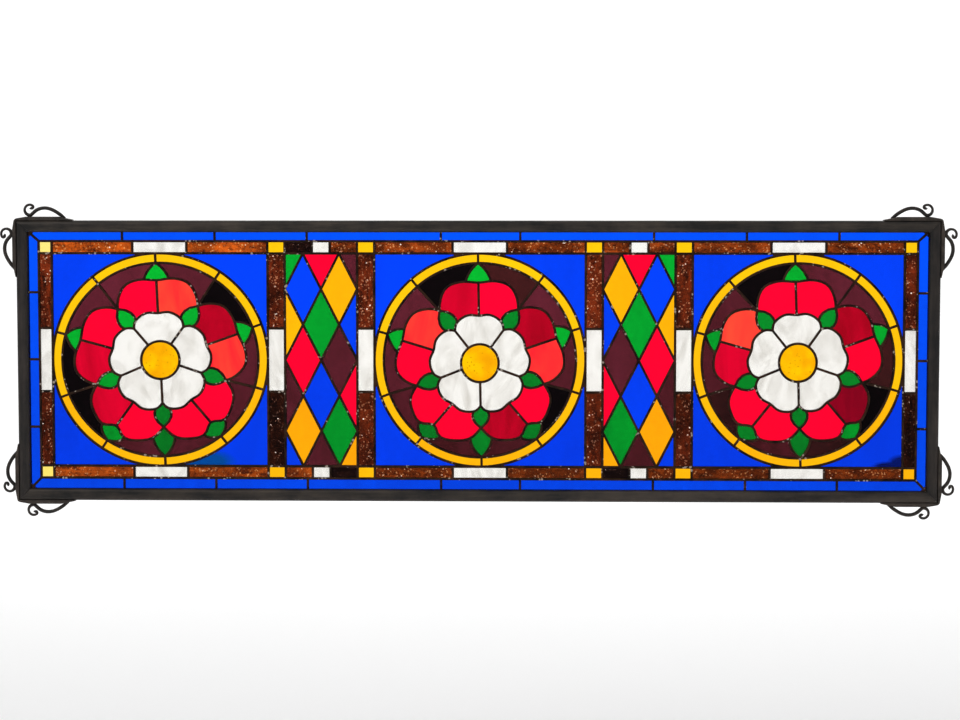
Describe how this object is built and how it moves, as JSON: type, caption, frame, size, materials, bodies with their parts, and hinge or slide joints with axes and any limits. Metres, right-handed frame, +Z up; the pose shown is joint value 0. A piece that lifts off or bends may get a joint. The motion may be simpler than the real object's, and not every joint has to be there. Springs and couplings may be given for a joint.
{
  "type": "stained glass window",
  "caption": "Long hanging stained glass panel: rose roundels and harlequin diamonds in a blue border, in a dark channel frame with wire scrolls at the corners.",
  "frame": {"origin": "midpoint between the two hanging points, where a hook or ring bears under the crowns of the two top scrolls", "axes": "+X runs along the window to the right as seen from its front, the front faces -Y, +Z is up"},
  "size_m": [0.8688, 0.012, 0.2868],
  "materials": {
    "patina": "dark brown-black patina, semi-gloss, streaked",
    "solder": "dark patina on solder, semi-gloss, slightly uneven",
    "blue_glass": "cobalt blue cathedral glass, gloss, faint ripple",
    "brown_glass": "amber-brown hammered glass, streaky, gloss",
    "harlequin_glass": "diamonds of blue, amber, green, red and purple glass",
    "yellow_glass": "yellow cathedral glass, gloss",
    "amber_glass": "deep amber glass with a few seeds",
    "purple_glass": "deep purple glass, nearly black in places",
    "red_glass": "red, crimson and coral streaky glass with green leaves",
    "white_glass": "white opalescent glass with soft wisps"
  },
  "bodies": {
    "root": {"frame_top": "patina", "border_top": "blue_glass", "frame_right": "patina", "border_right": "blue_glass", "frame_bottom": "patina", "border_bottom": "blue_glass", "frame_left": "patina", "border_left": "blue_glass", "band_top": "brown_glass", "band_bottom": "brown_glass", "post_1": "brown_glass", "post_2": "brown_glass", "post_3": "brown_glass", "post_4": "brown_glass", "post_5": "brown_glass", "post_6": "brown_glass", "harlequin_left": "harlequin_glass", "harlequin_right": "harlequin_glass", "solder_lines": "solder", "rose_left_ring": "yellow_glass", "rose_left_field": "purple_glass", "rose_left_petals": "red_glass", "rose_left_rosette": "white_glass", "rose_left_boss": "amber_glass", "rose_left_corner_top_left": "blue_glass", "rose_left_corner_top_right": "blue_glass", "rose_left_corner_bottom_left": "blue_glass", "rose_left_corner_bottom_right": "blue_glass", "rose_middle_ring": "yellow_glass", "rose_middle_field": "purple_glass", "rose_middle_petals": "red_glass", "rose_middle_rosette": "white_glass", "rose_middle_boss": "amber_glass", "rose_middle_corner_top_left": "blue_glass", "rose_middle_corner_top_right": "blue_glass", "rose_middle_corner_bottom_left": "blue_glass", "rose_middle_corner_bottom_right": "blue_glass", "rose_right_ring": "yellow_glass", "rose_right_field": "purple_glass", "rose_right_petals": "red_glass", "rose_right_rosette": "white_glass", "rose_right_boss": "amber_glass", "rose_right_corner_top_left": "blue_glass", "rose_right_corner_top_right": "blue_glass", "rose_right_corner_bottom_left": "blue_glass", "rose_right_corner_bottom_right": "blue_glass", "strap_top_left": "patina", "scroll_top_left_level": "patina", "scroll_top_left_upright": "patina", "strap_top_right": "patina", "scroll_top_right_level": "patina", "scroll_top_right_upright": "patina", "strap_bottom_left": "patina", "scroll_bottom_left_level": "patina", "scroll_bottom_left_upright": "patina", "strap_bottom_right": "patina", "scroll_bottom_right_level": "patina", "scroll_bottom_right_upright": "patina"}
  },
  "joints": []
}
